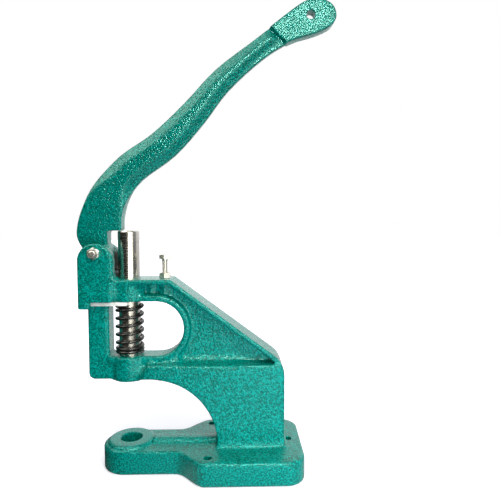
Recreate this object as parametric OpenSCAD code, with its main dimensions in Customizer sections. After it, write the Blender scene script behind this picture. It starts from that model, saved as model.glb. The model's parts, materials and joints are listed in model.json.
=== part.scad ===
// Hand lever press for setting snaps and eyelets.
// Origin: axis of the lower die bore, on the bench. +X runs from the ram to
// the column, +Z is up, and Y = 0 is the symmetry plane.

/* [Base] */
// Length of the base along X
base_l = 190; // [184:1:200]
// Width of the rear part of the base
base_w = 93; // [90:1:100]
// Thickness of the base
base_t = 22; // [18:1:24]
// Width of the narrow front part
neck_w = 48; // [44:1:50]
// Diameter of the raised die boss
boss_d = 44; // [36:1:46]
// Height of the die boss above the bench
boss_h = 25.5; // [24:0.5:28]
// Bore for the lower die
die_bore_d = 20; // [16:1:22]
// Diameter of the bench bolt holes
bench_hole_d = 7; // [5:0.5:8]
// Distance between the two front bench holes
bench_hole_gap = 71; // [66:1:74]

/* [Column and head] */
// Width of the column, the head and the clevis ears
column_w = 38; // [36:1:42]
// Width of the top flange
flange_w = 36; // [32:1:38]
// Thickness of the top flange
flange_t = 4.5; // [3:0.5:6]
// Thickness of the web under the flange
web_t = 10; // [8:1:14]
// Radius of the throat behind the die
throat_r = 62; // [58:1:64]
// Rear face of the column
column_x = 147; // [142:1:150]
// Height of the top of the head
head_top = 181; // [178:1:184]
// Slope of the top flange in degrees
flange_slope = 36.6; // [34:0.2:38]
// Radius of the round rear corner of the flange
corner_r = 24; // [18:1:28]
// Height of the head's underside
head_low = 160; // [159:0.5:161]
// Height of the spring seat
seat_z = 108; // [107:0.5:109]
// Distance of the head's front face from the ram's axis
head_front = 43; // [40:0.2:44]

/* [Lever and pivot] */
// Pivot axis, distance in front of the ram's axis
pivot_back = 27; // [26:0.2:28]
// Height of the pivot axis
pivot_z = 205.5; // [205:0.1:206]
// Thickness of the lever where it sits in the clevis
lever_t = 15.5; // [14:0.5:15.5]
// Thickness of the flat end of the lever
paddle_t = 11.5; // [9:0.5:13]
// Width of the clevis slot
slot_w = 16; // [16:0.1:16.4]
// Diameter of the pivot bolt's shoulder
pivot_d = 8; // [7:0.5:9]
// Diameter of the hole in the end of the lever
paddle_hole_d = 8; // [6:0.5:9]

/* [Ram and spring] */
// Diameter of the ram
ram_d = 20; // [20:1:20]
// Height of the ram's top when the lever is up
ram_top = 225.8; // [225.6:0.1:226]
// Height of the ram's lower end when the lever is up
ram_low = 85; // [84:1:88]
// Bore for the upper die's thread in the ram's lower end
upper_die_d = 8.5; // [6.8:0.1:10.2]
// Outside diameter of the spring
spring_d = 27; // [26:0.5:27]
// Thickness of the spring wire
wire_d = 3; // [2.6:0.1:3]
// Thickness of the guide plate
plate_t = 3.5; // [3:0.1:3.6]
// Width of the guide plate
plate_w = 30; // [28:1:34]

/* [Screws] */
// Thread size of the stop screw, its nut, the pivot nut and the set screw
thread_d = 6; // [6:1:6]
// Distance of the stop screw behind the ram's axis
stop_x = 34; // [33:0.5:35]
// Height of the underside of the stop screw's head
stop_head_z = 199.2; // [196:0.2:206]
// Length of the stop screw under its head
stop_len = 35; // [30:5:40]

/* [Hidden] */
$fn = 64;

paint = [0.0, 0.46, 0.41];
steel = [0.72, 0.71, 0.68];
zinc = [0.80, 0.80, 0.79];
black = [0.05, 0.05, 0.05];

fit = 0.05;                          // radial play of what turns or slides
big = 60;                            // overrun of cuts

front_cx = -1.5;                      // centre of the base's round front end
front_r = neck_w / 2;
base_rear = front_cx - front_r + base_l;
rear_r = 18;                         // radius of the base's rear corners
flare_x0 = 45;                       // where the neck starts to widen
flare_x1 = 74;                       // where it has its full width
bench_x = 76;                        // front pair of bench holes
bench_rear_x = 152;                  // single rear bench hole

throat_x = 22;                       // centre of the throat's arc
throat_z = 25.5;
body_top = 101;                      // top of the full-width column
body_x0 = 11;                        // front of the full-width column, at its underside
arm_low = 87.5;                      // underside of the lower arm
pillar_low = 86;                     // underside of the front pillar
core_wall = 8;                       // walls of the hollow column
core_top = 88;
pocket_w = 72;                       // pocket under the base
pocket_z = 12;
lower_boss_r = 17;
lower_boss_z = 85;
head_boss_r = 17;
pillar_x0 = -36.8;                   // front pillar beside the window
pillar_x1 = -17.5;
pillar_w = 20;
pillar_r = 6;                        // round of its lower front corner
window_r = (head_low - seat_z) / 2;  // round end of the D-shaped window
window_x = 26.5;
window_z = (head_low + seat_z) / 2;
rim_t = 6;                           // raised rim round the window
rim_w = 24;
flange_x0 = 41;                      // where the flat flange starts to slope
flat_x0 = -4;
cheek_x = -12;                       // where the flat cheeks end beside the guide boss
neck_plate_w = 26;                   // head between the cheeks and the window's rim
corner_x = column_x - corner_r;      // centre of the flange's rear corner
corner_z = head_top - tan(flange_slope) * (corner_x - flange_x0)
           - corner_r / cos(flange_slope);
lip_x1 = -32.6;                      // lip in front of the guide plate
lip_z = 153.8;
boss_x = [21, stop_x];               // bosses under the flange, and their radii
flange_boss_r = [6.4, 7];

pivot_x = -pivot_back;
ear_r = 16;                          // round top of the clevis ears
ear_x = -head_front + ear_r;
ear_z = 198.6;
ear_fillet = 5;
slot_floor = 188;
pivot_disc_r = 12;                   // round lower end of the lever

plate_x0 = lip_x1 + 0.4;             // tips of the guide plate's fork, behind the lip
plate_x1 = 1;                            // blunt ends of the fork, level with the ram's axis
plate_top = head_low - 0.1;
plate_z = plate_top - plate_t;
ring_t = 1.2;                        // snap ring in the ram's groove
ring_r = 11.8;
groove_r = 9.2;
ring_z = plate_top - ring_t;

nut_af = 10;                         // across flats of the M6 nuts and heads
nut_h = 5;
nyloc_h = 3.8;
collar_r = 4.4;
thread_r = thread_d / 2;
set_z = 10.5;                        // height of the die's set screw
set_len = 13;
set_x = -12;                         // tip of the set screw, clear of the bore

function arc(cx, cz, r, a0, a1, n = 8) =
    [for (i = [0 : n]) let (a = a0 + (a1 - a0) * i / n) [cx + r * cos(a), cz + r * sin(a)]];

// Catmull-Rom curve through hand-placed points, with steps points a span
function spline(p, steps = 4) =
    [for (i = [1 : len(p) - 3], k = [0 : steps - 1])
        let (t = k / steps, a = p[i - 1], b = p[i], c = p[i + 1], d = p[i + 2])
        0.5 * (2 * b + (c - a) * t + (2 * a - 5 * b + 4 * c - d) * t * t
               + (3 * b - a - 3 * c + d) * t * t * t)];

// Extrudes a side view, drawn in X and Z, evenly to both sides of Y = 0
module slab(width) rotate([90, 0, 0]) linear_extrude(width, center = true) children();

module cross_bore(x, z, r, width) translate([x, 0, z]) rotate([90, 0, 0])
    cylinder(r = r, h = width, center = true);

module box(x0, x1, width, z0, z1) translate([x0, -width / 2, z0])
    cube([x1 - x0, width, z1 - z0]);

module hexagon(af, h) cylinder(r = af / 2 / cos(30), h = h, $fn = 6);

// ---- frame casting ----

function flare(side) =
    [for (i = [0 : 10]) let (t = i / 10)
        [flare_x0 + (flare_x1 - flare_x0) * t,
         side * (neck_w / 2 + (base_w - neck_w) / 2 * (1 - cos(180 * t)) / 2)]];

module base() {
    translate([front_cx, 0, 0]) cylinder(r = front_r, h = base_t);
    box(front_cx, flare_x0, neck_w, 0, base_t);
    linear_extrude(base_t)
        polygon(concat(flare(-1), [for (i = [10 : -1 : 0]) flare(1)[i]]));
    box(flare_x1, base_rear - rear_r, base_w, 0, base_t);
    box(flare_x1, base_rear, base_w - 2 * rear_r, 0, base_t);
    for (side = [-1, 1]) translate([base_rear - rear_r, side * (base_w / 2 - rear_r), 0])
        cylinder(r = rear_r, h = base_t);
    cylinder(d = boss_d, h = boss_h);
    // low rib from the die boss to the column
    rotate([90, 0, 90]) linear_extrude(throat_x + throat_r)
        polygon([[-9, base_t - 1], [9, base_t - 1], [4, base_t + 4], [-4, base_t + 4]]);
}

module column() difference() {
    slab(column_w) polygon(concat(
        [[body_x0, arm_low], [body_x0 + 9, body_top]],
        arc(corner_x, corner_z, corner_r, asin((body_top - corner_z) / corner_r), 0),
        [[column_x, 0], [throat_x + throat_r, 0], [throat_x + throat_r, throat_z],
         [throat_x, throat_z], [throat_x, arm_low]]));
    cross_bore(throat_x, throat_z, throat_r, big);
}

// Hollow inside of the column and shallow pocket under the base
module core() {
    box(throat_x + throat_r + core_wall, column_x - core_wall, column_w - 2 * core_wall,
        -1, core_top);
    box(throat_x + throat_r, column_x - core_wall, pocket_w, -1, pocket_z);
}

module flange() slab(flange_w) polygon(concat(
    [[column_x, body_top - 30]],
    arc(corner_x, corner_z, corner_r, 0, 90 - flange_slope),
    [[flange_x0, head_top], [flat_x0, head_top], [flat_x0, head_top - flange_t],
     [flange_x0 - flange_t * tan(flange_slope / 2), head_top - flange_t]],
    arc(corner_x, corner_z, corner_r - flange_t, 90 - flange_slope, 0),
    [[column_x - flange_t, body_top - 30]]));

module web() slab(web_t) polygon([[20, arm_low + 4], [20, head_top - 2],
    [flange_x0 - 2, head_top - 2], [corner_x + 12, corner_z + 14], [corner_x + 12, arm_low + 4]]);

module d_shape(grow) {
    translate([pillar_x1, 0]) translate([0, seat_z - grow])
        square([window_x - pillar_x1, head_low - seat_z + 2 * grow]);
    translate([window_x, window_z]) circle(r = window_r + grow);
}

module ears() difference() {
    union() {
        cross_bore(ear_x, ear_z, ear_r, column_w);
        box(-head_front, -head_front + 2 * ear_r, column_w, head_top - 1, ear_z);
        box(-head_front + 2 * ear_r - 1, -head_front + 2 * ear_r + ear_fillet, column_w,
            head_top - 1, head_top + ear_fillet);
    }
    cross_bore(-head_front + 2 * ear_r + ear_fillet, head_top + ear_fillet, ear_fillet, big);
    box(-big, big, slot_w, slot_floor, ear_z + ear_r + 1);
    // the ram passes behind the ears
    cylinder(r = ram_d / 2 + fit, h = 300);
}

module head() {
    box(-head_front, cheek_x, column_w, head_low, head_top);
    box(cheek_x, stop_x, neck_plate_w, head_low, head_low + rim_t);
    box(cheek_x, boss_x[0], web_t, head_low, head_top - 1);
    box(-head_front, lip_x1, column_w, lip_z, head_low);
    translate([0, 0, head_low]) cylinder(r = head_boss_r, h = head_top - head_low);
    for (i = [0, 1]) translate([boss_x[i], 0, head_low + 3])
        cylinder(r = flange_boss_r[i], h = head_top - head_low - 4);
}

module lower_arm() {
    box(pillar_x0 + pillar_r, 0, pillar_w, pillar_low, seat_z);
    box(0, throat_x, pillar_w, arm_low, seat_z);
    box(pillar_x0, pillar_x1, pillar_w, pillar_low + pillar_r, head_low + 1);
    cross_bore(pillar_x0 + pillar_r, pillar_low + pillar_r, pillar_r, pillar_w);
    translate([0, 0, lower_boss_z]) cylinder(r = lower_boss_r, h = seat_z - lower_boss_z);
}

module frame_casting() color(paint) difference() {
    union() {
        base();
        column();
        flange();
        web();
        slab(rim_w) d_shape(rim_t);
        head();
        ears();
        lower_arm();
    }
    core();
    slab(big) d_shape(0);
    translate([0, 0, -1]) cylinder(d = die_bore_d, h = boss_h + 2);
    translate([0, 0, lower_boss_z - 1]) cylinder(r = ram_d / 2 + fit, h = head_top - lower_boss_z + 2);
    cross_bore(pivot_x, pivot_z, pivot_d / 2, big);
    translate([stop_x, 0, window_z]) cylinder(r = thread_r, h = head_top - window_z + 1);
    for (side = [-1, 1]) translate([bench_x, side * bench_hole_gap / 2, -1])
        cylinder(d = bench_hole_d, h = base_t + 2);
    translate([bench_rear_x, 0, -1]) cylinder(d = bench_hole_d, h = base_t + 2);
    translate([front_cx - front_r - 2, 0, set_z]) rotate([0, 90, 0])
        cylinder(r = thread_r, h = front_r);
}

// ---- lever and pivot ----

// Edge of the arm: up the front bulge, round the flat end and back to the heel
arm_edge = [[-40, 208], [-44.5, 215], [-46.3, 226], [-41.7, 244.6], [-29, 270.3], [-6.4, 295.2],
            [23.6, 316.1], [53.8, 344.2], [83.4, 375.4], [120.4, 403.4], [150.8, 427], [165.8, 437],
            [178, 440], [190.8, 434.6], [195, 424], [189.6, 415], [175.6, 408.2], [152.6, 400.8],
            [127, 385], [95, 356], [72, 326], [45, 296], [14, 273], [0, 254],
            [-5, 236], [-5, 220]];
heel = [[-5, 227.5], [-6.2, 226], [-16.5, 226], [-18, 224.5], [-18, 213]];
paddle_x = 171;
paddle_z = 424.5;
step_x = 142;                        // where the flat end starts
step_z = 406;
step_angle = -47;                    // lean of the step between arm and flat end

module lever_outline() polygon(concat(
    [[pivot_x, pivot_z], [pivot_x - pivot_disc_r, pivot_z]],
    spline(arm_edge), [[-5, 236]], heel));

module lever() color(paint) difference() {
    union() {
        slab(lever_t) lever_outline();
        cross_bore(pivot_x, pivot_z, pivot_disc_r, lever_t);
    }
    cross_bore(pivot_x, pivot_z, pivot_d / 2 + fit, big);
    cross_bore(paddle_x, paddle_z, paddle_hole_d / 2, big);
    for (side = [0, 1]) mirror([0, side, 0]) translate([step_x, paddle_t / 2, step_z])
        rotate([0, step_angle, 0]) translate([0, 0, -big]) cube([2 * big, big, 2 * big]);
}

// Shoulder bolt: head on the far side, nut on the near side
module pivot_bolt() color(zinc) translate([pivot_x, 0, pivot_z]) rotate([90, 0, 0]) {
    translate([0, 0, -column_w / 2 - 5]) difference() {
        hexagon(13, 5);
        translate([0, 0, -1]) cylinder(r = 3, h = 1.4);
    }
    translate([0, 0, -column_w / 2]) cylinder(r = pivot_d / 2 - fit / 2, h = column_w);
    translate([0, 0, column_w / 2 - 0.1]) cylinder(r = thread_r, h = nyloc_h + 3);
}

module pivot_nut() color(zinc) translate([pivot_x, -column_w / 2, pivot_z]) rotate([90, 0, 0])
    difference() {
        union() {
            hexagon(nut_af, nyloc_h);
            cylinder(r = collar_r, h = nyloc_h + 2.2);
        }
        translate([0, 0, -1]) cylinder(r = thread_r, h = nyloc_h + 1);
        translate([0, 0, nyloc_h - 0.1]) cylinder(r = collar_r - 0.7, h = 1.9);
        translate([0, 0, nyloc_h]) cylinder(r = collar_r - 1.2, h = 5);
    }

module pivot_nut_insert() color([0.85, 0.86, 0.84])
    translate([pivot_x, -column_w / 2 - nyloc_h + 0.1, pivot_z]) rotate([90, 0, 0])
    difference() {
        cylinder(r = collar_r - 0.7, h = 1.9);
        translate([0, 0, -1]) cylinder(r = thread_r, h = 5);
    }

// ---- ram, guide plate and spring ----

module ram() color(steel) difference() {
    translate([0, 0, ram_low]) rotate_extrude() polygon([
        [0, 0], [ram_d / 2 - 1, 0], [ram_d / 2, 1],
        [ram_d / 2, ring_z - ram_low], [groove_r, ring_z - ram_low],
        [groove_r, plate_top - ram_low], [ram_d / 2, plate_top - ram_low],
        [ram_d / 2, ram_top - ram_low - 1], [ram_d / 2 - 1, ram_top - ram_low],
        [0, ram_top - ram_low]]);
    translate([0, 0, ram_low - 1]) cylinder(d = upper_die_d, h = 21);
}

module ram_snap_ring() color(steel) translate([0, 0, ring_z]) difference() {
    cylinder(r = ring_r, h = ring_t);
    translate([0, 0, -1]) cylinder(r = groove_r, h = 4);
    translate([0, -1.5, -1]) cube([20, 3, 4]);
}

// Fork plate: its web is held between the front pillar and the ram, under the snap ring
module guide_plate() color(steel) difference() {
    box(plate_x0, plate_x1, plate_w, plate_z, plate_top);
    translate([0, 0, plate_z - 1]) cylinder(r = ram_d / 2 + fit, h = plate_t + 2);
    translate([0, 0, ring_z]) cylinder(r = ring_r + 0.3, h = ring_t + 1);
    box(-big, pillar_x1 + 0.6, pillar_w + 0.6, plate_z - 1, plate_top + 1);
}

closed_turns = 2;
active_turns = 5;
end_turns = 0.75;
closed_pitch = wire_d + 0.12;
coil_steps = 16;
coil_sides = 8;
coil_r = (spring_d - wire_d) / 2;
coil_rise = plate_z - seat_z - wire_d - 0.1;
end_rise = 0.6;
active_pitch = (coil_rise - closed_turns * closed_pitch - end_rise) / active_turns;
coil_start = 13.5;                   // angle of the lower end of the wire
total_turns = closed_turns + active_turns + end_turns;

function coil_z(t) = seat_z + wire_d / 2 + 0.05
    + min(t, closed_turns) * closed_pitch
    + max(0, min(t - closed_turns, active_turns)) * active_pitch
    + max(0, t - closed_turns - active_turns) * end_rise / end_turns;

module return_spring() {
    rings = round(total_turns * coil_steps);
    points = [for (i = [0 : rings], k = [0 : coil_sides - 1])
        let (t = i / coil_steps, a = coil_start + 360 * t, b = 360 * k / coil_sides,
             r = coil_r + wire_d / 2 * cos(b))
        [r * cos(a), r * sin(a), coil_z(t) + wire_d / 2 * sin(b)]];
    sides = [for (i = [0 : rings - 1], k = [0 : coil_sides - 1])
        let (p = i * coil_sides + k, q = i * coil_sides + (k + 1) % coil_sides)
        [p, q, q + coil_sides, p + coil_sides]];
    low_end = [for (k = [coil_sides - 1 : -1 : 0]) k];
    high_end = [for (k = [0 : coil_sides - 1]) rings * coil_sides + k];
    color(black) polyhedron(points, concat(sides, [low_end, high_end]), convexity = 10);
}

// ---- screws ----

module stop_screw() color(zinc) translate([stop_x, 0, stop_head_z]) {
    hexagon(nut_af, 4);
    translate([0, 0, -stop_len]) cylinder(r = thread_r - fit, h = stop_len + 0.1);
}

module stop_lock_nut() color(zinc) translate([stop_x, 0, head_top]) difference() {
    hexagon(nut_af, nut_h);
    translate([0, 0, -1]) cylinder(r = thread_r, h = nut_h + 2);
}

module die_set_screw() color(black) translate([set_x - set_len, 0, set_z]) rotate([0, 90, 0])
    difference() {
        cylinder(r = thread_r - fit, h = set_len);
        translate([0, 0, -1]) hexagon(3, 5);
    }

frame_casting();
lever();
pivot_bolt();
pivot_nut();
pivot_nut_insert();
ram();
ram_snap_ring();
guide_plate();
return_spring();
stop_screw();
stop_lock_nut();
die_set_screw();
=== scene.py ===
import json
import math

import bmesh
import bpy
import numpy as np
import openvdb
from mathutils import Matrix, Vector


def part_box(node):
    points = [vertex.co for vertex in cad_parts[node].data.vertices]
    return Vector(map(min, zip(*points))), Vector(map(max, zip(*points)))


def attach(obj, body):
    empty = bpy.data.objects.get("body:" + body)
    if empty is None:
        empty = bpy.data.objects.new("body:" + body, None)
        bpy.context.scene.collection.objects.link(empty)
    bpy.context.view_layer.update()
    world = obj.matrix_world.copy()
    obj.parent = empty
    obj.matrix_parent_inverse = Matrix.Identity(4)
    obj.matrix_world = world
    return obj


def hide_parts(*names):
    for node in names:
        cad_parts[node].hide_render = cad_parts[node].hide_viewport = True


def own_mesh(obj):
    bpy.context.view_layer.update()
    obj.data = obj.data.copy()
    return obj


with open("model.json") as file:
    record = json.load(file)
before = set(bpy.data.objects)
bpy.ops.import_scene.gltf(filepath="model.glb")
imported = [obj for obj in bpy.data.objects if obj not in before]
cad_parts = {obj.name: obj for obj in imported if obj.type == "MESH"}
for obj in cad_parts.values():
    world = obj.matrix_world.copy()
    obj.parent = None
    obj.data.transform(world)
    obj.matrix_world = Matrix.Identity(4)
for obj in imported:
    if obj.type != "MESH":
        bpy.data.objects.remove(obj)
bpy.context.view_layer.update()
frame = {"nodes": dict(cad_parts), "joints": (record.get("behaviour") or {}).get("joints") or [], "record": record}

MM = 0.001
VOXEL = 0.6  # pitch of the grids that the castings are shaped on, in millimetres


# ---- sizes read from the frame, in millimetres ----


def node_box(node):
    """Lowest and highest corner of a CAD node."""
    low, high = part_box(node)
    return np.array(low) / MM, np.array(high) / MM


def mount(name):
    """Position and dimensions of one of the part's stated interfaces."""
    found = [m for m in frame["record"]["mounts"] if m["name"] == name][0]
    return np.array(found["pos_m"]) / MM, found["dims"]


PIVOT = np.array([j for j in frame["joints"] if j["name"] == "lever_pivot"][0]["pos_m"]) / MM
CASTING_LOW, CASTING_HIGH = node_box("frame_casting")
LEVER_LOW, LEVER_HIGH = node_box("lever")
RAM_LOW, RAM_HIGH = node_box("ram")
PLATE_LOW, PLATE_HIGH = node_box("guide_plate")
SPRING_LOW, _ = node_box("return_spring")
STOP_LOW, STOP_HIGH = node_box("stop_screw")
NUT_LOW, NUT_HIGH = node_box("stop_lock_nut")
SET_LOW, SET_HIGH = node_box("die_set_screw")
BOLT_LOW, _ = node_box("pivot_bolt")
PADDLE_HOLE, PADDLE_DIMS = mount("lever_end_hole")
_, DIE_DIMS = mount("lower_die_bore")
REAR_HOLE, REAR_DIMS = mount("bench_hole_rear")
FRONT_HOLES, FRONT_DIMS = mount("bench_holes_front")
RAM_R = (RAM_HIGH[0] - RAM_LOW[0]) / 2
STOP_X = (STOP_LOW[0] + STOP_HIGH[0]) / 2
SET_Z = (SET_LOW[2] + SET_HIGH[2]) / 2
SEAT_Z = 108.0  # top of the lower ram guide, where the spring stands
HEAD_LOW = 160.0
HEAD_TOP = 181.0
ARM_LOW = 85.0
BASE_TOP = 22.0
BOSS_R = 22.0
EAR_GAP = 16.0  # width of the slot between the clevis ears
EAR_Y = 19.0  # distance of the ears' outer faces from the plane Y = 0
PIVOT_BORE_R = 4.0  # through the ears
LEVER_BORE_R = 4.05
M6_FLATS = 10.0  # across the flats of the nuts and the stop screw's head
SCREW_R = 2.95  # crests of the M6 threads
SCREW_BORE_R = 3.05  # holes that those screws go through


# ---- mesh helpers ----


def new_object(name, verts, faces, materials, scale=MM):
    """A mesh object from corners in millimetres."""
    mesh = bpy.data.meshes.new(name)
    points = np.asarray(verts, float) * scale
    mesh.from_pydata(points.tolist(), [], [list(map(int, f)) for f in faces])
    for material in materials:
        mesh.materials.append(material)
    obj = bpy.data.objects.new(name, mesh)
    bpy.context.scene.collection.objects.link(obj)
    return obj


def smooth(obj, angle=35):
    obj.data.shade_smooth()
    obj.data.set_sharp_from_angle(angle=math.radians(angle))
    return obj


def place(obj, matrix):
    """Moves the mesh itself, so that its object stays at the origin."""
    obj.data.transform(matrix)
    return obj


def along(axis, at):
    """Carries local +Z onto axis, with the origin at a point in millimetres."""
    turn = Vector((0, 0, 1)).rotation_difference(Vector(axis)).to_matrix().to_4x4()
    return Matrix.Translation(Vector(at) * MM) @ turn


def declare(obj, body, slot, *nodes):
    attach(obj, body)
    if nodes:
        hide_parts(*nodes)
    return obj


def lofted(rings, closed=True):
    """Corners and faces through rings of equal length; closed adds a fan at each end."""
    n = len(rings[0])
    verts = [p for ring in rings for p in ring]
    faces = []
    for i in range(len(rings) - 1):
        for k in range(n):
            a, b = i * n + k, i * n + (k + 1) % n
            faces.append((a, b, b + n, a + n))
    if closed:
        faces.append(tuple(range(n - 1, -1, -1)))
        faces.append(tuple((len(rings) - 1) * n + k for k in range(n)))
    return verts, faces


def circle(r, z, n=96):
    return [
        (r * math.cos(2 * math.pi * k / n), r * math.sin(2 * math.pi * k / n), z)
        for k in range(n)
    ]


def lathe(name, profile, materials, n=96):
    """A turned piece about local Z from (radius, height) points, lowest first."""
    verts, faces = lofted([circle(r, z, n) for r, z in profile])
    return smooth(new_object(name, verts, faces, materials))


def hex_radius(angle, across_flats):
    sixth = math.pi / 3
    return across_flats / 2 / math.cos((angle + sixth / 2) % sixth - sixth / 2)


def hex_ring(across_flats, z, chamfer, rise, n=96):
    """A hexagon's outline, dipping at its corners where the chamfer cuts them."""
    ring = []
    for k in range(n):
        a = 2 * math.pi * k / n
        r = hex_radius(a, across_flats)
        dip = max(0.0, r - across_flats / 2 * 0.985) * math.tan(math.radians(chamfer))
        ring.append((r * math.cos(a), r * math.sin(a), z + rise * dip))
    return ring


def thread_rings(r_outer, pitch, z0, z1, n=48):
    """Rings of a helical thread, running out at both ends."""
    depth = 0.61  # of the thread, as a share of its pitch
    steps = int((z1 - z0) / pitch * 8)
    rings = []
    for i in range(steps + 1):
        z = z0 + (z1 - z0) * i / steps
        fade = min(1.0, (z - z0) / pitch, (z1 - z) / pitch)
        ring = []
        for k in range(n):
            a = 2 * math.pi * k / n
            wave = abs(((z / pitch - k / n) % 1.0) * 2 - 1)
            cut = depth * pitch * min(1.0, 1.25 * wave)
            r = r_outer - cut * max(fade, 0.0) - 0.25 * pitch * (1 - max(fade, 0.0))
            ring.append((r * math.cos(a), r * math.sin(a), z))
        rings.append(ring)
    return rings


# ---- distance fields for the cast pieces ----


def node_triangles(node):
    """A CAD node's corners in millimetres, and its triangles."""
    mesh = frame["nodes"][node].data
    corners = np.empty(len(mesh.vertices) * 3, np.float32)
    mesh.vertices.foreach_get("co", corners)
    mesh.calc_loop_triangles()
    tris = np.empty(len(mesh.loop_triangles) * 3, np.int32)
    mesh.loop_triangles.foreach_get("vertices", tris)
    return corners.reshape(-1, 3) / MM, tris.reshape(-1, 3).astype(np.uint32)


def level_set(points, band, tris=None, quads=None):
    grid = openvdb.createLinearTransform(voxelSize=VOXEL)
    return openvdb.FloatGrid.createLevelSetFromPolygons(
        np.ascontiguousarray(points, np.float32),
        triangles=tris,
        quads=quads,
        transform=grid,
        halfWidth=band / VOXEL,
    )


def with_plugs(points, tris, plugs):
    """Adds closed cylinders (start, end, radius) to a mesh, to fill its bores."""
    points, tris = [points], [tris]
    count = len(points[0])
    n = 64
    for start, end, r in plugs:
        start, end = np.array(start, float), np.array(end, float)
        turn = np.array(Vector((0, 0, 1)).rotation_difference(Vector(end - start)).to_matrix())
        rim = np.array(circle(r, 0.0, n)) @ turn.T
        points.append(np.vstack([rim + start, rim + end, start, end]))
        k = np.arange(n)
        q = (k + 1) % n
        low, high = np.full(n, 2 * n), np.full(n, 2 * n + 1)
        faces = [(k, q, q + n), (k, q + n, k + n), (q, k, low), (k + n, q + n, high)]
        tris.append(np.vstack([np.stack(f, 1) for f in faces]) + count)
        count += 2 * n + 2
    return np.vstack(points), np.vstack(tris).astype(np.uint32)


def rolled(points, tris, concave, convex, low, shape):
    """The solid's distance field after a ball of each radius has rolled in its
    inner corners and round its outer ones."""
    slack = 3 * VOXEL
    grid = level_set(points, concave + slack, tris=tris)
    points, quads = grid.convertToQuads(isovalue=concave)
    grid = level_set(points, concave + convex + slack, quads=quads)
    points, quads = grid.convertToQuads(isovalue=-(concave + convex))
    grid = level_set(points, convex + slack, quads=quads)
    field = np.empty(shape, np.float32)
    grid.copyToArray(field, ijk=tuple(int(v) for v in low))
    return field - convex


def grid_over(low, high, margin=3):
    """First index, shape and axes in millimetres of the grid over a box."""
    first = np.floor(low / VOXEL).astype(int) - margin
    shape = np.ceil(high / VOXEL).astype(int) + margin + 1 - first
    axes = [
        ((first[a] + np.arange(shape[a])) * VOXEL).astype(np.float32) for a in range(3)
    ]
    return first, tuple(int(v) for v in shape), np.meshgrid(*axes, indexing="ij", sparse=True)


def surface(field, first, adaptivity):
    """Corners and faces of a field's zero surface, facing out."""
    grid = openvdb.FloatGrid(float(field.max()))
    grid.copyFromArray(np.ascontiguousarray(field), ijk=tuple(int(v) for v in first))
    grid.transform = openvdb.createLinearTransform(voxelSize=VOXEL)
    points, tris, quads = grid.convertToPolygons(isovalue=0.0, adaptivity=adaptivity)
    return points, [f[::-1] for f in tris.tolist()] + [f[::-1] for f in quads.tolist()]


def step(value, start, end):
    """Rises smoothly from 0 at start to 1 at end."""
    t = np.clip((value - start) / (end - start), 0, 1)
    return t * t * (3 - 2 * t)


def bored(obj, cutters):
    """Cuts closed meshes out of obj and deletes them."""
    for cutter in cutters:
        cut = obj.modifiers.new("bore", "BOOLEAN")
        cut.operation = "DIFFERENCE"
        cut.solver = "MANIFOLD"
        cut.object = cutter
    graph = bpy.context.evaluated_depsgraph_get()
    mesh = bpy.data.meshes.new_from_object(obj.evaluated_get(graph), depsgraph=graph)
    obj.modifiers.clear()
    obj.data = mesh
    for cutter in cutters:
        bpy.data.objects.remove(cutter)
    return obj


def drill(start, end, r, chamfer=0.5, overrun=0.6):
    """A cutter from start to end, widening at both mouths."""
    start, end = Vector(start), Vector(end)
    length = (end - start).length
    profile = [
        (r + chamfer + overrun, -overrun),
        (r, chamfer),
        (r, length - chamfer),
        (r + chamfer + overrun, length + overrun),
    ]
    return place(lathe("cutter", profile, [], 72), along((end - start).normalized(), start))


def upright(r, height, at):
    """A plain cylinder to cut with, standing on a point in millimetres."""
    return place(lathe("cutter", [(r, 0), (r, height)], []), along((0, 0, 1), at))


def paint_bores(obj, bores, clevis=False):
    """Gives the walls of bores (point, axis, radius) the second material and, if
    clevis is set, the slot between the clevis ears the third, a dark painted shade."""
    mesh = obj.data
    centres = np.empty(len(mesh.polygons) * 3)
    normals = np.empty(len(mesh.polygons) * 3)
    mesh.polygons.foreach_get("center", centres)
    mesh.polygons.foreach_get("normal", normals)
    centres, normals = centres.reshape(-1, 3) / MM, normals.reshape(-1, 3)
    chosen = np.zeros(len(centres), bool)
    for at, axis, r in bores:
        axis = np.array(axis, float)
        out = centres - np.array(at, float)
        out -= np.outer(out @ axis, axis)
        reach = np.linalg.norm(out, axis=1)
        inward = (out * normals).sum(1) < -0.7 * reach
        chosen |= (np.abs(reach - r) < 0.12) & inward
    indices = np.where(chosen, 1, 0)
    if clevis:
        x, y, z = centres.T
        # the faces between the clevis ears get the painted shade
        indices[(np.abs(y) < EAR_GAP / 2 + 0.4) & (x < 3) & (z > HEAD_TOP + 1) & ~chosen] = 2
    mesh.polygons.foreach_set("material_index", indices.astype(np.int32))
    mesh.update()


# ---- materials ----


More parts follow.
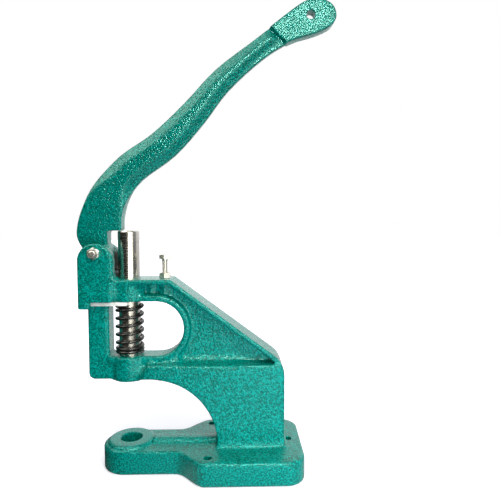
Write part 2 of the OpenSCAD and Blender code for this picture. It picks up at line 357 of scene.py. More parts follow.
class Shader:
    """A Principled material and short ways to feed it."""

    def __init__(self, name, **values):
        self.material = bpy.data.materials.new(name)
        self.material.use_nodes = True
        self.tree = self.material.node_tree
        self.main = self.tree.nodes["Principled BSDF"]
        for socket, value in values.items():
            self.main.inputs[socket.replace("_", " ")].default_value = value
        self.at = self.node("ShaderNodeTexCoord").outputs["Object"]

    def node(self, kind, **settings):
        made = self.tree.nodes.new(kind)
        for key, value in settings.items():
            setattr(made, key, value)
        return made

    def link(self, source, target):
        self.tree.links.new(source, target)

    def noise(self, size, detail=3.0, roughness=0.55, stretch=None):
        """Noise whose features are about size metres wide."""
        made = self.node("ShaderNodeTexNoise")
        made.inputs["Scale"].default_value = 1 / size
        made.inputs["Detail"].default_value = detail
        made.inputs["Roughness"].default_value = roughness
        self.link(self.stretched(stretch) if stretch else self.at, made.inputs["Vector"])
        return made.outputs["Fac"]

    def stretched(self, scale):
        made = self.node("ShaderNodeMapping")
        made.inputs["Scale"].default_value = scale
        self.link(self.at, made.inputs["Vector"])
        return made.outputs["Vector"]

    def cells(self, size, smoothness=0.8):
        """Rounded cells about size metres apart, as distance from their centres."""
        made = self.node("ShaderNodeTexVoronoi", feature="SMOOTH_F1")
        made.inputs["Scale"].default_value = 1 / size
        made.inputs["Smoothness"].default_value = smoothness
        self.link(self.at, made.inputs["Vector"])
        return made.outputs["Distance"]

    def ramp(self, source, stops):
        made = self.node("ShaderNodeValToRGB")
        elements = made.color_ramp.elements
        while len(elements) < len(stops):
            elements.new(0.5)
        for element, (at, value) in zip(elements, stops, strict=True):
            element.position = at
            element.color = (
                (*value, 1) if isinstance(value, tuple) else (value, value, value, 1)
            )
        self.link(source, made.inputs["Fac"])
        return made.outputs["Color"]

    def mix(self, factor, a, b):
        made = self.node("ShaderNodeMix", data_type="RGBA")
        for socket, value in (("Factor", factor), ("A", a), ("B", b)):
            slots = [s for s in made.inputs if s.name == socket and s.enabled]
            if isinstance(value, (int, float)):
                slots[0].default_value = value
            elif isinstance(value, tuple):
                slots[0].default_value = (*value, 1)
            else:
                self.link(value, slots[0])
        return [s for s in made.outputs if s.enabled][0]

    def math(self, operation, a, b):
        made = self.node("ShaderNodeMath", operation=operation)
        for socket, value in zip(made.inputs, (a, b)):
            if isinstance(value, (int, float)):
                socket.default_value = value
            else:
                self.link(value, socket)
        return made.outputs[0]

    def spread(self, source, low, high, start=0.0, end=1.0):
        """Carries source from start..end onto low..high."""
        made = self.node("ShaderNodeMapRange")
        for socket, value in (
            ("From Min", start), ("From Max", end), ("To Min", low), ("To Max", high),
        ):  # fmt: skip
            made.inputs[socket].default_value = value
        self.link(source, made.inputs["Value"])
        return made.outputs["Result"]

    def bump(self, height, distance, normal=None):
        made = self.node("ShaderNodeBump")
        made.inputs["Strength"].default_value = 1.0
        made.inputs["Distance"].default_value = distance
        self.link(height, made.inputs["Height"])
        if normal is not None:
            self.link(normal, made.inputs["Normal"])
        return made.outputs["Normal"]

    def set(self, socket, source):
        self.link(source, self.main.inputs[socket])


def hammered_paint(name, depth=1.0):
    """Teal hammer-finish enamel: rounded dimples about 2 mm wide with paler crests, partly the enamel's own mottle
    and partly painted glints.
    """
    s = Shader(name, Metallic=0.0, IOR=1.46, Specular_Tint=(0.42, 1.0, 0.92, 1.0))
    hills = s.noise(0.0015, detail=2.0, roughness=0.5)
    dimples = s.cells(0.0020, 0.7)
    fine = s.noise(0.0011, detail=2.0)
    cloud = s.noise(0.02, detail=3.0)
    # depth below 1 darkens every colour of the enamel, as painted shade
    dark = (0.0, 0.12 * depth, 0.092 * depth)
    pale = (0.0, 0.38 * depth, 0.325 * depth)
    middle = (0.0, 0.22 * depth, 0.19 * depth)
    # paler where the bump's hills rise: the enamel's own mottle together with painted glints
    base = s.mix(s.ramp(hills, [(0.40, 0.0), (0.66, 1.0)]), dark, pale)
    base = s.mix(s.spread(cloud, 0.0, 0.25, 0.35, 0.65), base, middle)
    s.set("Base Color", base)
    s.set("Roughness", s.spread(fine, 0.09, 0.15, 0.3, 0.7))
    height = s.math("ADD", hills, s.math("MULTIPLY", dimples, 0.3))
    s.set("Normal", s.bump(height, 0.00055, s.bump(cloud, 0.0005)))
    return s.material


def turned_steel(name, tone=(0.56, 0.54, 0.50), roughness=0.2):
    """Ground steel with fine rings round the Z axis."""
    s = Shader(name, Metallic=1.0, IOR=2.5)
    rings = s.noise(0.006, detail=4.0, stretch=(1, 1, 24))
    stain = s.noise(0.014, detail=4.0)
    stained = tuple(0.62 * c for c in tone)
    s.set("Base Color", s.mix(s.spread(stain, 0.0, 0.6, 0.4, 0.7), tone, stained))
    s.set("Roughness", s.spread(rings, roughness * 0.75, roughness * 1.5, 0.3, 0.7))
    s.set("Normal", s.bump(rings, 0.00001))
    return s.material


def plated(name, tone=(0.66, 0.65, 0.62), roughness=0.32, metallic=1.0):
    """Bright zinc plate with a faint yellow bloom."""
    s = Shader(name, Metallic=metallic, IOR=2.0)
    bloom = s.noise(0.004, detail=3.0)
    yellowed = (0.66, 0.63, 0.55)
    s.set("Base Color", s.mix(s.spread(bloom, 0.0, 0.7, 0.4, 0.65), tone, yellowed))
    s.set("Roughness", s.spread(s.noise(0.0012), roughness * 0.7, roughness * 1.5, 0.3, 0.7))
    s.set("Normal", s.bump(s.noise(0.0008), 0.000015))
    return s.material


def spring_black(name):
    """Oil-blacked spring wire."""
    s = Shader(name, Metallic=0.0, IOR=1.5)
    mottle = s.noise(0.0022, detail=3.0)
    s.set("Base Color", s.mix(mottle, (0.002, 0.002, 0.002), (0.012, 0.011, 0.010)))
    s.set("Roughness", s.spread(mottle, 0.18, 0.34, 0.3, 0.7))
    s.set("Normal", s.bump(s.noise(0.0009), 0.00003))
    return s.material


def dark_iron(name):
    """Bare bored iron with a film of oil."""
    s = Shader(name, Metallic=0.9, IOR=2.0)
    marks = s.noise(0.003, detail=4.0, stretch=(1, 1, 10))
    s.set("Base Color", s.mix(marks, (0.10, 0.10, 0.095), (0.34, 0.33, 0.31)))
    s.set("Roughness", s.spread(marks, 0.28, 0.5, 0.3, 0.7))
    s.set("Normal", s.bump(marks, 0.00003))
    return s.material


def painted_slot_shade(name):
    """Near-black paint in the clevis slot: painted shade where the ears and the lever keep the light out, patchy
    and half dull.
    """
    s = Shader(name, Metallic=0.0, IOR=1.45)
    patches = s.noise(0.004, detail=4.0)
    deep_shade, paint = (0.003, 0.006, 0.005), (0.003, 0.035, 0.028)
    s.set("Base Color", s.mix(s.spread(patches, 0.0, 1.0, 0.35, 0.7), deep_shade, paint))
    s.set("Roughness", s.spread(patches, 0.6, 0.35, 0.3, 0.7))
    s.set("Normal", s.bump(patches, 0.0002))
    return s.material


def nylon(name):
    s = Shader(name, IOR=1.5, Subsurface_Weight=0.15, Subsurface_Scale=0.001)
    s.set("Base Color", s.mix(s.noise(0.001), (0.62, 0.63, 0.6), (0.75, 0.76, 0.73)))
    s.set("Roughness", s.spread(s.noise(0.0006), 0.4, 0.6, 0.3, 0.7))
    s.set("Normal", s.bump(s.noise(0.0006), 0.00002))
    return s.material


PAINT = hammered_paint("hammered_teal_paint")
# the same enamel as the frame, darkened by 0.85 as painted shade
SHADED_LEVER_PAINT = hammered_paint("hammered_teal_lever_shaded", 0.85)
STEEL = turned_steel("ground_ram_steel")
# near-white and barely metallic: the plate's colour is painted reflection, the sheen of its bright steel edge
PLATE_STEEL_PAINTED_SHEEN = plated("plate_steel", (0.97, 0.965, 0.95), 0.42, 0.1)
ZINC = plated("zinc_plate")
SPRING = spring_black("blacked_spring_wire")
OXIDE = spring_black("black_oxide_screw")
IRON = dark_iron("bored_iron")
# painted shade for the slot between the clevis ears
SLOT_PAINTED_SHADE = painted_slot_shade("slot_painted_shade")
NYLON = nylon("nylon_insert")


# ---- frame casting ----


def casting_field():
    """The casting as moulded: small fillets all over, wide ones where the ribs
    meet the body, and a rounded collar on the die boss."""
    first, shape, (x, y, z) = grid_over(CASTING_LOW, CASTING_HIGH)
    pivot_x, _, pivot_z = PIVOT
    wide = RAM_R + 0.4
    plugs = [
        ((0, 0, HEAD_LOW), (0, 0, HEAD_TOP), wide),
        ((0, 0, ARM_LOW), (0, 0, SEAT_Z), wide),
        ((0, 0, 0.0), (0, 0, DIE_DIMS["length_mm"]), DIE_DIMS["r_mm"] + 0.4),
        ((STOP_X, 0, HEAD_LOW + 4), (STOP_X, 0, HEAD_TOP), 3.4),
        ((CASTING_LOW[0] + 18, 0, SET_Z), (-24.0, 0, SET_Z), 3.4),
        ((REAR_HOLE[0], 0, 0), (REAR_HOLE[0], 0, BASE_TOP), REAR_DIMS["r_mm"] + 0.4),
    ]
    for side in (-1, 1):
        hole_y = side * FRONT_DIMS["spacing_y_mm"] / 2
        hole_r = FRONT_DIMS["hole_r_mm"] + 0.4
        plugs.append(((FRONT_HOLES[0], hole_y, 0), (FRONT_HOLES[0], hole_y, BASE_TOP), hole_r))
        plugs.append(((pivot_x, side * 8.0, pivot_z), (pivot_x, side * EAR_Y, pivot_z), 4.4))
    points, tris = with_plugs(*node_triangles("frame_casting"), plugs)
    field = rolled(points, tris, 1.5, 1.2, first, shape)
    wide_field = rolled(points, tris, 6.0, 2.8, first, shape)
    foot = 0.5 * step(x, 58, 66) * step(z, 40, 30)
    ledge = step(x, 24, 40) * step(x, 118, 100) * step(z, 93, 98) * step(z, 122, 112)
    arm = 0.6 * step(x, -2, 4) * step(x, 30, 22) * step(z, 84, 88) * step(z, 106, 103)
    cheek = step(x, 2, -5) * step(x, -24, -18) * step(z, 161, 165) * step(z, 186, 181)
    share = np.maximum(np.maximum(foot, ledge), np.maximum(arm, cheek)).astype(np.float32)
    field += (wide_field - field) * share
    # collar of the die boss
    reach = np.sqrt(x * x + y * y) - BOSS_R
    up = z - DIE_DIMS["length_mm"]
    r = 3.2
    collar = (
        np.sqrt(np.maximum(reach + r, 0) ** 2 + np.maximum(up + r, 0) ** 2)
        - r
        + np.minimum(np.maximum(reach, up) + r, 0)
    )
    near = (reach < 0.6) & (z > BASE_TOP + 0.3) & (z < 30)
    return np.where(near, np.maximum(field, collar), field).astype(np.float32), first


def make_casting():
    field, first = casting_field()
    points, faces = surface(field, first, 0.06)
    obj = new_object("frame_casting_cast", points, faces, [PAINT, IRON, SLOT_PAINTED_SHADE])
    px, _, pz = PIVOT
    hx, hr = FRONT_HOLES[0], FRONT_DIMS["hole_r_mm"]
    hy = FRONT_DIMS["spacing_y_mm"] / 2
    ram_r = RAM_R + 0.12
    die_r, die_top = DIE_DIMS["r_mm"], DIE_DIMS["length_mm"]
    cutters = [
        drill((0, 0, HEAD_LOW), (0, 0, HEAD_TOP), ram_r, 0.4),
        drill((0, 0, ARM_LOW), (0, 0, SEAT_Z), ram_r, 0.4),
        drill((0, 0, 0), (0, 0, die_top), die_r, 0.7),
        drill((hx, -hy, 0), (hx, -hy, BASE_TOP), hr),
        drill((hx, hy, 0), (hx, hy, BASE_TOP), hr),
        drill((REAR_HOLE[0], 0, 0), (REAR_HOLE[0], 0, BASE_TOP), REAR_DIMS["r_mm"]),
        drill((px, -EAR_Y, pz), (px, EAR_Y, pz), PIVOT_BORE_R, 0.3),
        drill((STOP_X, 0, HEAD_LOW + 4), (STOP_X, 0, HEAD_TOP), SCREW_BORE_R, 0.3, 0.4),
        drill((CASTING_LOW[0] + 17.5, 0, SET_Z), (-8, 0, SET_Z), SCREW_BORE_R, 0.3),
        # clears the ram's way between the ears, and the stop screw's through the window's rim
        upright(ram_r, 40, (0, 0, HEAD_TOP - 1)),
        upright(SCREW_BORE_R, 18, (STOP_X, 0, HEAD_LOW - 8)),
    ]
    bored(obj, cutters)
    bores = [
        ((0, 0, 0), (0, 0, 1), ram_r),
        ((0, 0, 0), (0, 0, 1), die_r),
        ((hx, -hy, 0), (0, 0, 1), hr),
        ((hx, hy, 0), (0, 0, 1), hr),
        ((REAR_HOLE[0], 0, 0), (0, 0, 1), REAR_DIMS["r_mm"]),
        ((px, 0, pz), (0, 1, 0), PIVOT_BORE_R),
        ((STOP_X, 0, 0), (0, 0, 1), SCREW_BORE_R),
        ((0, 0, SET_Z), (1, 0, 0), SCREW_BORE_R),
    ]
    paint_bores(obj, bores, clevis=True)
    smooth(obj)
    return declare(obj, "frame", "frame_paint", "frame_casting")


# ---- lever ----

# the arm's middle line, from the pivot to the flat end
SPINE = [
    (-27, 205), (-26, 235), (-15, 262), (3.5, 284.5), (34, 306.5),
    (62.5, 335.5), (89, 366), (123.5, 394.5), (151.5, 414), (180, 428),
]  # fmt: skip
SLAB_HALF = 7.75
RIM_HALF = 3.0
PADDLE_HALF = 5.75
STEP_AT = (142.0, 406.0)
STEP_NORMAL = (math.cos(math.radians(47)), math.sin(math.radians(47)))


def curve_through(points, steps=12):
    """Catmull-Rom curve through points, with steps points a span."""
    p = np.array([points[0], *points, points[-1]], float)
    out = []
    for i in range(1, len(p) - 2):
        for k in range(steps):
            t = k / steps
            a, b, c, d = p[i - 1 : i + 3]
            out.append(
                0.5 * (2 * b + (c - a) * t + (2 * a - 5 * b + 4 * c - d) * t * t
                       + (3 * b - a - 3 * c + d) * t**3)
            )  # fmt: skip
    out.append(p[-1])
    return np.array(out)


def node_outline(node):
    """Edges of a node's section by the plane Y = 0, as (n, 2, 2) X, Z pairs in millimetres."""
    section = bmesh.new()
    section.from_mesh(frame["nodes"][node].data)
    cut = bmesh.ops.bisect_plane(
        section,
        geom=section.verts[:] + section.edges[:] + section.faces[:],
        plane_co=(0, 0, 0),
        plane_no=(0, 1, 0),
    )["geom_cut"]
    edges = [e for e in cut if isinstance(e, bmesh.types.BMEdge)]
    out = np.array([[(v.co.x / MM, v.co.z / MM) for v in e.verts] for e in edges])
    section.free()
    return out


def distance_to(segments, x, z):
    """Distance from each grid point to the nearest of some segments."""
    best = np.full(x.shape, 1e9)
    for (ax, az), (bx, bz) in segments:
        dx, dz = bx - ax, bz - az
        t = np.clip(((x - ax) * dx + (z - az) * dz) / (dx * dx + dz * dz + 1e-12), 0, 1)
        best = np.minimum(best, (x - ax - t * dx) ** 2 + (z - az - t * dz) ** 2)
    return np.sqrt(best)


def inside(segments, x, z):
    """Which grid points an outline holds."""
    odd = np.zeros(x.shape, bool)
    for (ax, az), (bx, bz) in segments:
        crosses = (az > z) != (bz > z)
        at = ax + (z - az) * (bx - ax) / (bz - az if bz != az else 1.0)
        odd ^= crosses & (x < at)
    return odd


def smooth_min(a, b, reach):
    """The smaller of two heights, rounded off where they are within reach of each other."""
    return np.minimum(a, b) - np.maximum(reach - np.abs(a - b), 0) ** 2 / (4 * reach)


def blurred(values, radius):
    """Softens a map of heights over about radius millimetres."""
    n = max(1, round(radius / VOXEL))
    for axis in (0, 1) * 2:
        padded = np.pad(values, [(n, n) if a == axis else (0, 0) for a in (0, 1)], "edge")
        parts = [
            np.take(padded, np.arange(k, k + values.shape[axis]), axis) for k in range(2 * n + 1)
        ]
        values = sum(parts) / len(parts)
    return values


def lever_field():
    """The forging: a slab at the pivot, a ridged arm with a thin parting flange
    along its lower edge, and a flat end that stands proud of the arm."""
    first, shape, (x3, y3, z3) = grid_over(LEVER_LOW, LEVER_HIGH)
    x, z = np.meshgrid(x3.ravel(), z3.ravel(), indexing="ij")
    outline = node_outline("lever")
    middle = outline.mean(1)
    for hole in (PIVOT, PADDLE_HOLE):
        keep = np.hypot(middle[:, 0] - hole[0], middle[:, 1] - hole[2]) > 5.0
        outline, middle = outline[keep], middle[keep]
    edge = distance_to(outline, x, z)
    signed = np.where(inside(outline, x, z), -edge, edge)

    spine = curve_through(SPINE)
    lengths = np.r_[0, np.cumsum(np.hypot(*np.diff(spine, axis=0).T))]

    def follow(px, pz):
        """Length along the spine of the nearest point, and the side it lies on."""
        best, at, side = np.full(px.shape, 1e9), np.zeros(px.shape), np.zeros(px.shape)
        for i in range(len(spine) - 1):
            (ax, az), (bx, bz) = spine[i], spine[i + 1]
            dx, dz = bx - ax, bz - az
            t = np.clip(((px - ax) * dx + (pz - az) * dz) / (dx * dx + dz * dz), 0, 1)
            gap = (px - ax - t * dx) ** 2 + (pz - az - t * dz) ** 2
            closer = gap < best
            best = np.where(closer, gap, best)
            at = np.where(closer, lengths[i] + t * (lengths[i + 1] - lengths[i]), at)
            side = np.where(closer, dx * (pz - az) - dz * (px - ax), side)
        return at, side

    _, side = follow(middle[:, 0], middle[:, 1])
    upper = distance_to(outline[side > 0], x, z)
    lower = distance_to(outline[side <= 0], x, z)
    s, _ = follow(x, z)

    fall = SLAB_HALF - RIM_HALF
    facet = SLAB_HALF - fall * step(s, 40, 80) + upper * math.tan(math.radians(26))
    rim = 1.6 + 2.6 * step(s, 215, 268)
    slope = np.maximum(lower - rim, 0) * math.tan(math.radians(35))
    slope += SLAB_HALF - fall * step(s, 46, 76)
    ridge = smooth_min(facet, slope, 0.8 + 1.2 * step(s, 90, 220))
    ridge = smooth_min(ridge, np.full_like(s, SLAB_HALF), 0.5 + 0.8 * step(s, 90, 200))
    # distance past the step to the flat end; the arm thins and is grooved just before it
    beyond = (x - STEP_AT[0]) * STEP_NORMAL[0] + (z - STEP_AT[1]) * STEP_NORMAL[1]
    half = RIM_HALF + (ridge - RIM_HALF) * (0.12 + 0.88 * step(-beyond, 1.0, 9.0))
    half -= 0.9 * step(beyond, -4.0, -1.5)
    half = blurred(half, 0.6)
    half += (PADDLE_HALF - half) * step(beyond, -1.8, 0.4)

    r = 1.1
    flat = (signed + r)[:, None, :]
    face = np.abs(y3) - half[:, None, :] + r
    field = np.hypot(np.maximum(flat, 0), np.maximum(face, 0)) - r
    field += np.minimum(np.maximum(flat, face), 0)
    return np.clip(field, -4, 4).astype(np.float32), first


def make_lever():
    field, first = lever_field()
    points, faces = surface(field, first, 0.05)
    obj = new_object("lever_forged", points, faces, [SHADED_LEVER_PAINT, IRON])
    px, _, pz = PIVOT
    hx, _, hz = PADDLE_HOLE
    hole_r = PADDLE_DIMS["r_mm"]
    cutters = [
        drill((px, -SLAB_HALF, pz), (px, SLAB_HALF, pz), LEVER_BORE_R, 0.4),
        drill((hx, -PADDLE_HALF, hz), (hx, PADDLE_HALF, hz), hole_r, 0.5),
    ]
    bored(obj, cutters)
    across = (0, 1, 0)
    paint_bores(obj, [((px, 0, pz), across, LEVER_BORE_R), ((hx, 0, hz), across, hole_r)])
    smooth(obj)
    return declare(obj, "lever", "lever_paint", "lever")


# ---- turned and plated pieces ----


def make_ram():
    """The plunger with its snap-ring groove, and a plain socket below as wide as
    the core of an M10 thread."""
    low, high, r = RAM_LOW[2], RAM_HIGH[2], RAM_R
    groove_low, groove_high, groove_r = PLATE_HIGH[2] - 1.2, PLATE_HIGH[2], 9.2
    core_r, core_top = 4.25, low + 20
    profile = [
        (0.01, core_top + 2.4), (core_r, core_top), (core_r, low + 0.9), (core_r + 0.9, low),
        (r - 1.0, low), (r, low + 1.0),
        (r, groove_low), (groove_r, groove_low), (groove_r, groove_high), (r, groove_high),
        (r, high - 1.0), (r - 0.12, high - 0.75), (r - 0.95, high), (0.01, high),
    ]  # fmt: skip
    obj = lathe("ram_plunger", profile, [STEEL], 128)
    return declare(smooth(obj, 25), "ram", "machined_steel", "ram")


def softened(node, name, material, width, body, slot):
    """A CAD node's shape with its edges broken by a small round."""
    mesh = bmesh.new()
    mesh.from_mesh(frame["nodes"][node].data)
    bmesh.ops.remove_doubles(mesh, verts=mesh.verts, dist=1e-6)
    bmesh.ops.dissolve_limit(
        mesh, angle_limit=math.radians(0.5), verts=mesh.verts, edges=mesh.edges
    )
    least = math.radians(40)
    sharp = [e for e in mesh.edges if len(e.link_faces) == 2 and e.calc_face_angle(0) > least]
    bmesh.ops.bevel(
        mesh, geom=sharp, offset=width * MM, segments=2, profile=0.5,
        affect="EDGES", clamp_overlap=True,
    )  # fmt: skip
    data = bpy.data.meshes.new(name)
    mesh.to_mesh(data)
    mesh.free()
    data.materials.append(material)
    obj = bpy.data.objects.new(name, data)
    bpy.context.scene.collection.objects.link(obj)
    return declare(smooth(obj, 30), body, slot, node)


def make_spring():
    """Closed and ground coil spring between the lower guide and the fork plate."""
    wire, outside_d = 3.0, 27.0
    coil_r = (outside_d - wire) / 2
    closed, active, end = 2.0, 5.0, 0.75
    closed_pitch, end_rise = wire + 0.12, 0.6
    low = SPRING_LOW[2] + wire / 2
    rise = PLATE_LOW[2] - SEAT_Z - wire - 0.1
    pitch = (rise - closed * closed_pitch - end_rise) / active
    start = math.radians(13.5)
    turns = closed + active + end
    per_turn, sides = 64, 20

    def height(t):
        return (
            low
            + min(t, closed) * closed_pitch
            + max(0.0, min(t - closed, active)) * pitch
            + max(0.0, t - closed - active) * end_rise / end
        )

    rings = []
    for i in range(round(turns * per_turn) + 1):
        t = i / per_turn
        a = start + 2 * math.pi * t
        taper = min(1.0, 0.82 + 4 * min(t, turns - t))
        ring = []
        for k in range(sides):
            b = 2 * math.pi * k / sides
            r = coil_r + wire / 2 * taper * math.cos(b)
            z = height(t) + wire / 2 * taper * math.sin(b)
            ring.append((r * math.cos(a), r * math.sin(a), z))
        rings.append(ring)
    verts, faces = lofted(rings)
    obj = smooth(new_object("return_spring_coil", verts, faces, [SPRING]), 50)
    declare(obj, "frame", "spring_steel", "return_spring")
    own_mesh(obj)
    return obj


def hex_head(af, height, r_bottom, r_top):
    """Rings of a hexagon head, chamfered on top and, if r_bottom is small, below."""
    return [
        circle(r_bottom, 0.0),
        hex_ring(af, 0.0, 30 if r_bottom < af / 2 * 0.99 else 0, 1),
        hex_ring(af, height, 30, -1),
        circle(r_top, height),
    ]


def make_stop_screw():
    """Hexagon screw threaded along its shank."""
    underside = 199.2
    top, tip = STOP_HIGH[2] - underside, STOP_LOW[2] - underside
    head = hex_head(M6_FLATS, top, 4.95, 4.75)
    dish = [circle(3.6, top), circle(3.2, top - 0.3)]
    shank = thread_rings(SCREW_R, 1.0, tip + 0.6, -2.0)
    verts, faces = lofted(head + dish)
    head_obj = new_object("stop_screw_hex", verts, faces, [ZINC])
    neck = [circle(SCREW_R, -1.6, 48), circle(SCREW_R, 0.2, 48)]
    shank = [circle(2.2, tip, 48)] + shank + neck
    verts, faces = lofted(shank)
    shank_obj = new_object("shank", verts, faces, [ZINC])
    obj = joined(head_obj, shank_obj)
    place(obj, along((0, 0, 1), (STOP_X, 0, underside)))
    return declare(smooth(obj, 30), "stop_screw", "zinc_plated", "stop_screw")


def joined(*objs):
    """Several meshes as one object, named as the first."""
    mesh = bmesh.new()
    for obj in objs:
        mesh.from_mesh(obj.data)
    mesh.to_mesh(objs[0].data)
    mesh.free()
    for obj in objs[1:]:
        bpy.data.objects.remove(obj)
    return objs[0]


def nut_rings(af, height, hole_r):
    """Rings of a plain nut: bore up the inside, then hexagon down the outside."""
    inner = hole_r + 0.5
    return [
        circle(inner, 0.0),
        circle(hole_r, 0.5),
        circle(hole_r, height - 0.5),
        circle(inner, height),
        circle(af / 2 * 0.97, height),
        hex_ring(af, height, 30, -1),
        hex_ring(af, 0.0, 30, 1),
        circle(af / 2 * 0.97, 0.0),
        circle(inner, 0.0),
    ]


def make_lock_nut():
    verts, faces = lofted(nut_rings(M6_FLATS, NUT_HIGH[2] - NUT_LOW[2], 3.0), closed=False)
    obj = new_object("stop_lock_nut_hex", verts, faces, [ZINC])
    weld(obj)
    place(obj, along((0, 0, 1), (STOP_X, 0, NUT_LOW[2])))
    return declare(smooth(obj, 30), "lock_nut", "zinc_plated", "stop_lock_nut")


def weld(obj):
    mesh = bmesh.new()
    mesh.from_mesh(obj.data)
    bmesh.ops.remove_doubles(mesh, verts=mesh.verts, dist=1e-7)
    bmesh.ops.recalc_face_normals(mesh, faces=mesh.faces)
    mesh.to_mesh(obj.data)
    mesh.free()
    return obj


def make_pivot():
    """Shoulder bolt through the clevis, its nut, and the nut's nylon ring."""
    px, _, pz = PIVOT
    hex_h, collar_r, nut_top = 3.8, 4.4, 6.0
    near = along((0, -1, 0), (px, -EAR_Y, pz))
    nut = [
        circle(SCREW_BORE_R, 0.0),
        circle(SCREW_BORE_R, nut_top),
        circle(3.3, nut_top + 0.02),
        circle(collar_r - 0.5, nut_top),
        circle(collar_r, nut_top - 0.7),
        circle(collar_r, hex_h + 0.35),
        circle(collar_r + 0.25, hex_h),
        hex_ring(M6_FLATS, hex_h, 30, -1),
        hex_ring(M6_FLATS, 0.0, 20, 1),
        circle(4.9, 0.0),
        circle(SCREW_BORE_R, 0.0),
    ]
    verts, faces = lofted(nut, closed=False)
    obj = place(weld(new_object("pivot_nut_hex", verts, faces, [ZINC])), near)
    declare(smooth(obj, 30), "frame", "zinc_plated", "pivot_nut")

    end = -BOLT_LOW[1] - EAR_Y
    shank = thread_rings(2.98, 1.0, 0.0, end - 0.3)
    shank = [circle(2.98, -0.4, 48)] + shank + [circle(2.3, end, 48)]
    verts, faces = lofted(shank)
    thread = place(new_object("pivot_bolt_turned", verts, faces, [ZINC]), near)
    far = along((0, 1, 0), (px, EAR_Y, pz))
    verts, faces = lofted(hex_head(13.0, 5.0, 6.3, 6.15) + [circle(3.4, 5.0), circle(2.9, 4.6)])
    head = place(new_object("head", verts, faces, [ZINC]), far)
    body_r = 3.96
    shoulder = [(body_r - 0.3, -0.1), (body_r, 0.3), (body_r, 2 * EAR_Y - 0.01)]
    shoulder = lathe("shoulder", shoulder, [ZINC], 64)
    place(shoulder, along((0, 1, 0), (px, -EAR_Y, pz)))
    obj = joined(thread, head, shoulder)
    declare(smooth(obj, 30), "frame", "zinc_plated", "pivot_bolt")

    profile = [(3.0, 3.9), (2.98, 5.5), (3.3, 5.72), (3.66, 5.6), (3.68, 3.9), (3.0, 3.9)]
    verts, faces = lofted([circle(r, z) for r, z in profile], closed=False)
    obj = place(weld(new_object("pivot_nut_nylon", verts, faces, [NYLON])), near)
    declare(smooth(obj, 40), "frame", "nylon", "pivot_nut_insert")


def make_set_screw():
    """Socket set screw that clamps the lower die."""
    length = SET_HIGH[0] - SET_LOW[0]
    half = 1.5  # half the hexagon socket's width across its flats

    def hexed(p):
        """Carries a point of a circle of radius half onto the hexagon."""
        reach = hex_radius(math.atan2(p[1], p[0]), 2 * half)
        return (p[0] * reach / half, p[1] * reach / half, p[2])

    rings = [circle(0.01, 3.6, 48)]
    for r, z in ((half, 3.0), (half, 0.35), (1.85, 0.0)):
        rings.append([hexed(p) for p in circle(r, z, 48)])
    rings += [circle(2.35, 0.0, 48)] + thread_rings(SCREW_R, 1.0, 0.5, length - 1.2)
    rings += [circle(1.9, length, 48), circle(0.01, length - 0.3, 48)]
    verts, faces = lofted(rings)
    obj = new_object("die_set_screw_socket", verts, faces, [OXIDE])
    place(obj, along((1, 0, 0), (SET_LOW[0], 0, SET_Z)))
    return declare(smooth(obj, 35), "die_screw", "black_oxide", "die_set_screw")


# ---- floor, light and camera ----


def make_floor():
    """A white table. The camera sees it glow, more so further out, so that it meets
    the white surroundings without a line. The part sees it grey, and its reflections
    see it dark but for a strip in front."""
    s = Shader("floor_white", Roughness=0.7, Specular_IOR_Level=0.0)
    s.set("Base Color", s.mix(s.noise(0.2), (0.8, 0.8, 0.88), (0.82, 0.82, 0.90)))
    split = s.node("ShaderNodeSeparateXYZ")
    s.link(s.at, split.inputs[0])
    s.main.inputs["Emission Color"].default_value = (1, 1, 1, 1)
    away = s.node("ShaderNodeVectorMath", operation="LENGTH")
    s.link(s.at, away.inputs[0])
    s.set("Emission Strength", s.spread(away.outputs["Value"], 0.42, 1.0, 0.05, 0.75))
    grey = s.node("ShaderNodeBsdfPrincipled")
    grey.inputs["Specular IOR Level"].default_value = 0.0
    grey.inputs["Emission Color"].default_value = (1, 1, 1, 1)
    path = s.node("ShaderNodeLightPath")
    lit = s.spread(split.outputs["Y"], 0.05, 0.75, -1.1, -0.5)
    for edge in ((0.05, 1, -0.04, 0.05), (1, 0.05, 0.15, 0.3)):
        lit = s.math("MULTIPLY", lit, s.spread(split.outputs["X"], *edge))
    tone = s.mix(path.outputs["Is Glossy Ray"], (0.26, 0.26, 0.26), lit)
    s.link(tone, grey.inputs["Base Color"])
    far = s.spread(split.outputs["Y"], 0.0, 0.8, 0.05, 0.6)
    right = s.spread(split.outputs["X"], 0.0, 1.0, -0.6, -0.1)
    s.link(s.math("MULTIPLY", far, right), grey.inputs["Emission Strength"])
    seen = s.node("ShaderNodeMixShader")
    s.link(path.outputs["Is Camera Ray"], seen.inputs[0])
    s.link(grey.outputs[0], seen.inputs[1])
    s.link(s.main.outputs[0], seen.inputs[2])
    s.link(seen.outputs[0], s.tree.nodes["Material Output"].inputs["Surface"])
    size, drop = 6000, -0.05
    verts = [(x * size, y * size, drop) for x, y in ((-1, -1), (1, -1), (1, 1), (-1, 1))]
    new_object("floor", verts, [(0, 1, 2, 3)], [s.material])


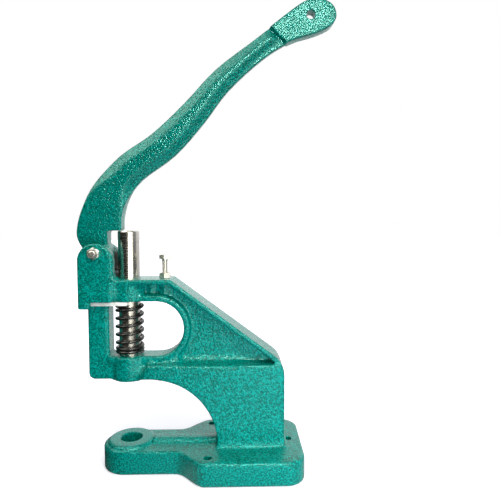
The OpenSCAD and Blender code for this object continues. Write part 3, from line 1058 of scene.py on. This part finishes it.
def make_world():
    """White all round for the camera. The part sees it bright behind, half as bright
    on the right, and dark in front and on the left."""
    world = bpy.data.worlds.new("studio")
    bpy.context.scene.world = world
    world.use_nodes = True
    tree = world.node_tree

    def ramp(source, start, end, low, high):
        made = tree.nodes.new("ShaderNodeMapRange")
        made.interpolation_type = "SMOOTHSTEP"
        for socket, value in (
            ("From Min", start), ("From Max", end), ("To Min", low), ("To Max", high),
        ):  # fmt: skip
            made.inputs[socket].default_value = value
        tree.links.new(source, made.inputs["Value"])
        return made.outputs["Result"]

    def combine(operation, a, b):
        made = tree.nodes.new("ShaderNodeMath")
        made.operation = operation
        tree.links.new(a, made.inputs[0])
        tree.links.new(b, made.inputs[1])
        return made.outputs[0]

    sky = tree.nodes["Background"]
    white = tree.nodes.new("ShaderNodeBackground")
    sky.inputs["Color"].default_value = white.inputs["Color"].default_value = (1, 1, 1, 1)
    white.inputs["Strength"].default_value = 1.0
    mix = tree.nodes.new("ShaderNodeMixShader")
    path = tree.nodes.new("ShaderNodeLightPath")
    where = tree.nodes.new("ShaderNodeTexCoord")
    split = tree.nodes.new("ShaderNodeSeparateXYZ")
    tree.links.new(where.outputs["Generated"], split.inputs[0])
    behind = ramp(split.outputs["Y"], -0.25, 0.35, 0.02, 1.25)
    not_left = ramp(split.outputs["X"], -0.75, -0.3, 0.05, 1.0)
    right_side = ramp(split.outputs["X"], 0.5, 0.85, 0.0, 0.6)
    light = combine("MAXIMUM", combine("MULTIPLY", behind, not_left), right_side)
    tree.links.new(light, sky.inputs["Strength"])
    tree.links.new(path.outputs["Is Camera Ray"], mix.inputs[0])
    tree.links.new(sky.outputs[0], mix.inputs[1])
    tree.links.new(white.outputs[0], mix.inputs[2])
    tree.links.new(mix.outputs[0], tree.nodes["World Output"].inputs["Surface"])


WARM = (1.0, 0.985, 0.88)
COOL = (0.86, 0.98, 1.08)


def softbox(name, at, target, width, height, radiance, tint=WARM, shine=True, wash=True):
    """A soft light whose face has the given brightness, unseen by the camera.
    Without wash it only adds reflections, without shine only even light."""
    light = bpy.data.lights.new(name, "AREA")
    light.shape = "RECTANGLE"
    light.color = tint
    light.size, light.size_y = width, height
    light.energy = radiance * math.pi * width * height
    obj = bpy.data.objects.new(name, light)
    obj.location = at
    obj.rotation_euler = (Vector(target) - Vector(at)).to_track_quat("-Z", "Y").to_euler()
    obj.visible_camera = False
    obj.visible_glossy = shine
    obj.visible_diffuse = wash
    bpy.context.scene.collection.objects.link(obj)


def make_lights():
    softbox("key_low", (0.60, -0.93, 0.31), (0.05, 0, 0.2), 0.75, 0.62, 5.0, wash=False)
    softbox("key_high", (0.56, -0.88, 0.88), (0.1, 0, 0.3), 0.75, 0.48, 3.0)
    softbox("key_right", (0.45, -0.62, 0.85), (0.08, 0, 0.18), 0.24, 0.20, 19, shine=False)
    softbox("left_high", (-0.68, -0.37, 1.07), (0.05, 0, 0.33), 0.65, 1.1, 7.0, wash=False)
    softbox("left_wash", (-0.55, -0.80, 0.75), (0.05, 0, 0.2), 0.6, 0.6, 1.9, shine=False)
    softbox("spark", (0.14, -0.78, 0.62), (0.1, 0, 0.3), 0.12, 0.12, 90, wash=False)
    softbox("spark_high", (0.33, -0.80, 0.79), (0.17, 0, 0.42), 0.20, 0.16, 66, wash=False)
    softbox("boss_glow", (0.21, -0.80, 0.09), (0, 0, 0.17), 0.24, 0.14, 6, wash=False)
    softbox("foot_fill", (0.20, -0.30, 0.05), (0.12, 0, 0.05), 0.25, 0.10, 10.5, COOL, shine=False)
    softbox("front_top", (0.06, -0.5, 1.3), (0.06, 0, 0.2), 0.9, 0.5, 2.2)


def make_camera():
    data = bpy.data.cameras.new("camera")
    data.lens = 32.4
    data.sensor_width = 36
    data.clip_start = 0.01
    obj = bpy.data.objects.new("camera", data)
    obj.location = (0.1035, -0.4296, 0.2327)
    obj.rotation_euler = (math.radians(90 - 3.38), 0, math.radians(-1.55))
    bpy.context.scene.collection.objects.link(obj)
    bpy.context.scene.camera = obj


make_casting()
make_lever()
make_ram()
softened("guide_plate", "guide_plate_fork", PLATE_STEEL_PAINTED_SHEEN, 0.25, "ram", "plate_steel")
softened("ram_snap_ring", "ram_snap_ring_wire", STEEL, 0.2, "ram", "machined_steel")
make_spring()
make_stop_screw()
make_lock_nut()
make_pivot()
make_set_screw()
make_floor()
make_world()
make_lights()
make_camera()
bpy.context.scene.view_settings.view_transform = "Standard"
